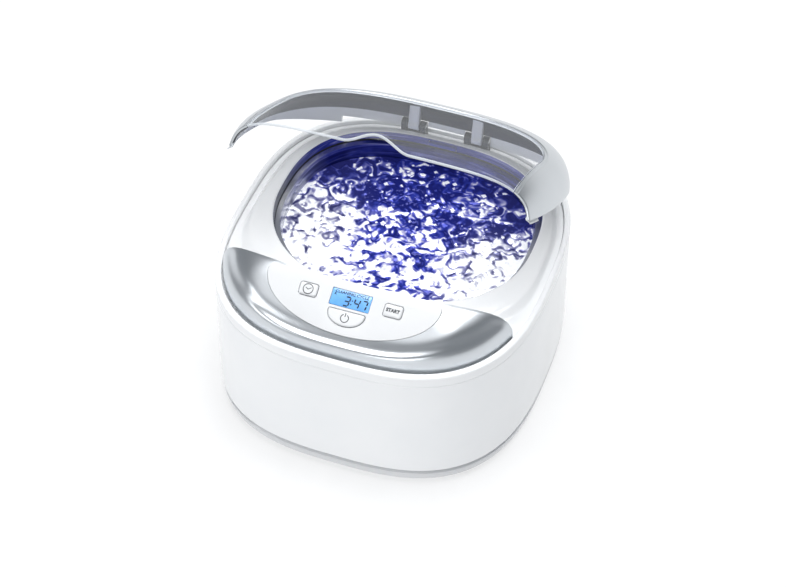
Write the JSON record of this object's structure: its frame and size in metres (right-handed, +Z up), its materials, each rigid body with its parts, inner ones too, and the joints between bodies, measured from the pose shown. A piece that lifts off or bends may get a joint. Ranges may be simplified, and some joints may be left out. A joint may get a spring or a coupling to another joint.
{
  "type": "ultrasonic cleaner",
  "caption": "Bench-top ultrasonic cleaner with a hinged dome lid, clear pane, steel tank and a sloping control face.",
  "frame": {"origin": "centre of the object's box in plan, on the surface that the feet stand on", "axes": "+Z up, -Y towards the controls, +X to the right of a person facing the controls"},
  "size_m": [0.2032, 0.2122, 0.2056],
  "materials": {
    "white_plastic": "satin moulded plastic",
    "silver_plastic": "silver metallic lacquer",
    "lid_plastic": "pearl silver lacquer",
    "clear_plastic": "clear styrene",
    "stainless_steel": "polished",
    "black_rubber": "matt",
    "grey_rubber": "matt",
    "display": "lit display",
    "board": "solder mask",
    "black_plastic": "fine texture",
    "ceramic": "fired ceramic",
    "brass": "plain",
    "aluminium": "plain",
    "copper": "enamelled winding",
    "blue_lamp": "lit lens",
    "wire": "insulation"
  },
  "bodies": {
    "root": {"outer_casing": "white_plastic", "base_cover": "white_plastic", "foot_front_left": "grey_rubber", "foot_front_right": "grey_rubber", "foot_rear_left": "grey_rubber", "foot_rear_right": "grey_rubber", "base_screw_front_left": "stainless_steel", "base_screw_front_right": "stainless_steel", "base_screw_rear_left": "stainless_steel", "base_screw_rear_right": "stainless_steel", "top_deck": "white_plastic", "lamp_lens": "blue_lamp", "lamp_board": "board", "console_panel": "silver_plastic", "control_plate": "white_plastic", "display_window": "display", "lcd_module": "black_plastic", "control_board": "board", "tact_switch_timer": "black_plastic", "tact_switch_start": "black_plastic", "tact_switch_power": "black_plastic", "tank": "stainless_steel", "tank_gasket": "black_rubber", "transducer_front_mass": "aluminium", "piezo_ring_upper": "ceramic", "electrode": "brass", "piezo_ring_lower": "ceramic", "transducer_back_mass": "stainless_steel", "transducer_bolt": "stainless_steel", "power_board": "board", "transformer_core": "aluminium", "transformer_winding": "copper", "capacitor": "black_plastic", "heat_sink": "aluminium", "power_transistor": "black_plastic", "mains_inlet": "black_plastic", "inlet_pin_left": "brass", "inlet_pin_right": "brass", "mains_leads": "wire", "transducer_leads": "wire", "display_cable": "wire", "hinge_bracket_left": "black_plastic", "hinge_bracket_right": "black_plastic", "hinge_pin_left": "stainless_steel", "hinge_pin_right": "stainless_steel"},
    "lid": {"lid_frame": "lid_plastic", "lid_window": "clear_plastic"},
    "timer_key": {"timer_button": "white_plastic"},
    "start_key": {"start_button": "white_plastic"},
    "power_key": {"power_button": "white_plastic"}
  },
  "joints": [
    {"name": "lid_hinge", "type": "hinge", "parent": "root", "child": "lid", "pos_m": [0, 0.098, 0.1005], "axis": [-1, 0, 0], "range_deg": [-30, 46]},
    {"name": "timer_press", "type": "slide", "parent": "root", "child": "timer_key", "axis": [0, 0.5, -0.866], "range_m": [0, 0.0008], "stiffness_N_per_m": 1800, "springref_m": -0.0005},
    {"name": "start_press", "type": "slide", "parent": "root", "child": "start_key", "axis": [0, 0.5, -0.866], "range_m": [0, 0.0008], "stiffness_N_per_m": 1800, "springref_m": -0.0005},
    {"name": "power_press", "type": "slide", "parent": "root", "child": "power_key", "axis": [0, 0.5, -0.866], "range_m": [0, 0.0008], "stiffness_N_per_m": 1800, "springref_m": -0.0005}
  ]
}
